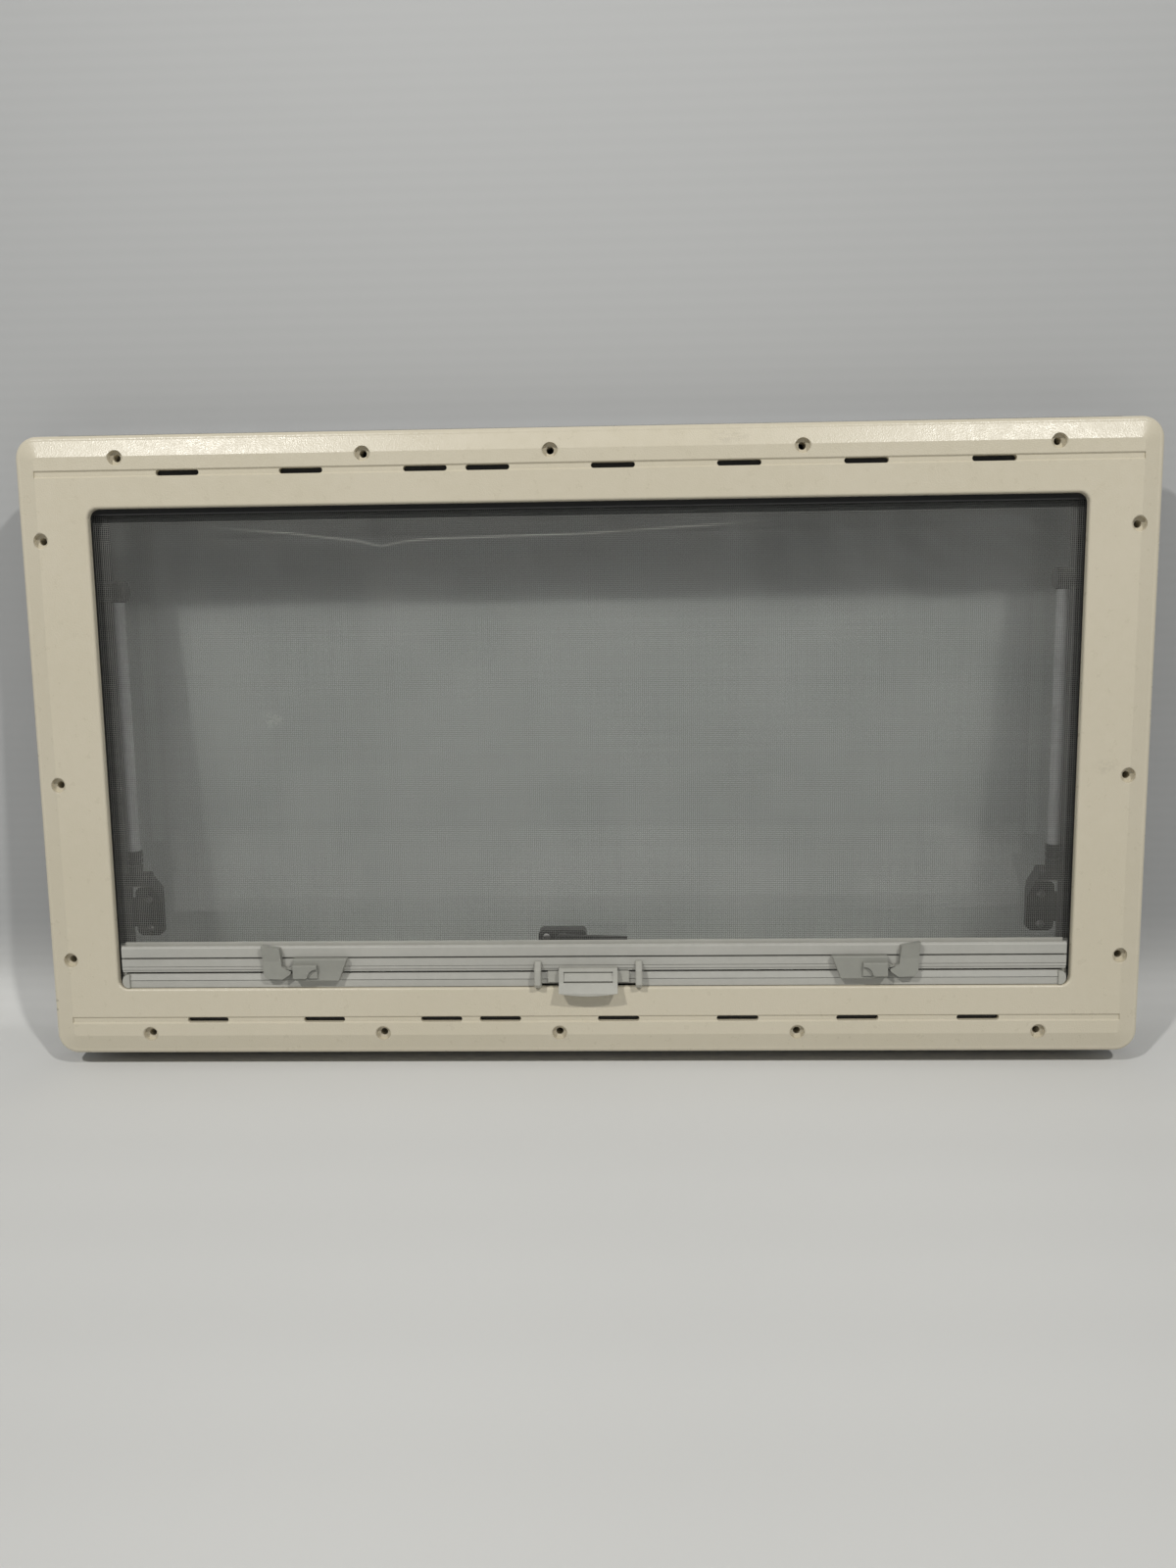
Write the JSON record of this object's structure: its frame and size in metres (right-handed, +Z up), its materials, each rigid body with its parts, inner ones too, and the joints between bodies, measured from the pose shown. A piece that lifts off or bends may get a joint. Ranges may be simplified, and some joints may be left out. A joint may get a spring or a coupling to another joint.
{
  "type": "caravan window",
  "caption": "Top-hung caravan window: cream inner frame, tinted acrylic pane on stays, flyscreen drawn down and hooked to the blind rail.",
  "frame": {"origin": "middle of the wall cut-out's lower edge, on the wall's outer skin, where the outer frame's flange seats", "axes": "+X to the right seen from indoors, +Y towards outdoors, +Z up"},
  "size_m": [0.932, 0.088, 0.532],
  "materials": {
    "cream_moulding": "fine satin grain, aged cream",
    "dark_moulding": "satin black",
    "acrylic": "smoke tinted, glossy",
    "seal_rubber": "matt black",
    "hinge_aluminium": "dark anodised satin",
    "cassette_plastic": "matt black",
    "roller_cloth": "wound cloth",
    "mesh_cloth": "dark grey woven screen",
    "rail_grey": "satin grey",
    "fitting_grey": "satin grey",
    "slider_plastic": "satin grey",
    "catch_grey": "satin mid grey",
    "stay_aluminium": "satin",
    "stay_steel": "polished",
    "stay_plastic": "satin black"
  },
  "bodies": {
    "root": {"inner_frame": "cream_moulding", "outer_frame": "dark_moulding", "pane_seal": "seal_rubber", "pane_inner_sheet": "acrylic", "pane_outer_sheet": "acrylic", "pane_hinge_profile": "hinge_aluminium", "frame_hinge_rail": "hinge_aluminium", "screen_cassette": "cassette_plastic", "blind_cassette": "cassette_plastic", "screen_roller": "roller_cloth", "blind_roller": "roller_cloth", "flyscreen": "mesh_cloth", "screen_rail": "rail_grey", "blind_rail": "rail_grey", "pull_handle": "fitting_grey", "latch_base": "stay_plastic", "latch_lever": "stay_plastic", "left_guide": "cassette_plastic", "right_guide": "cassette_plastic", "left_rail_slider": "slider_plastic", "right_rail_slider": "slider_plastic", "left_rail_cap": "fitting_grey", "right_rail_cap": "fitting_grey", "left_fin": "fitting_grey", "right_fin": "fitting_grey", "left_hook": "catch_grey", "right_hook": "catch_grey", "left_catch": "catch_grey", "right_catch": "catch_grey", "left_thumb_tab": "catch_grey", "right_thumb_tab": "catch_grey", "left_stay_pivot": "stay_plastic", "right_stay_pivot": "stay_plastic", "left_stay_cap": "stay_plastic", "right_stay_cap": "stay_plastic", "left_stay_tube": "stay_aluminium", "right_stay_tube": "stay_aluminium", "left_stay_rod": "stay_steel", "right_stay_rod": "stay_steel", "left_stay_foot": "stay_plastic", "right_stay_foot": "stay_plastic", "left_stay_bracket": "stay_plastic", "right_stay_bracket": "stay_plastic"}
  },
  "joints": []
}
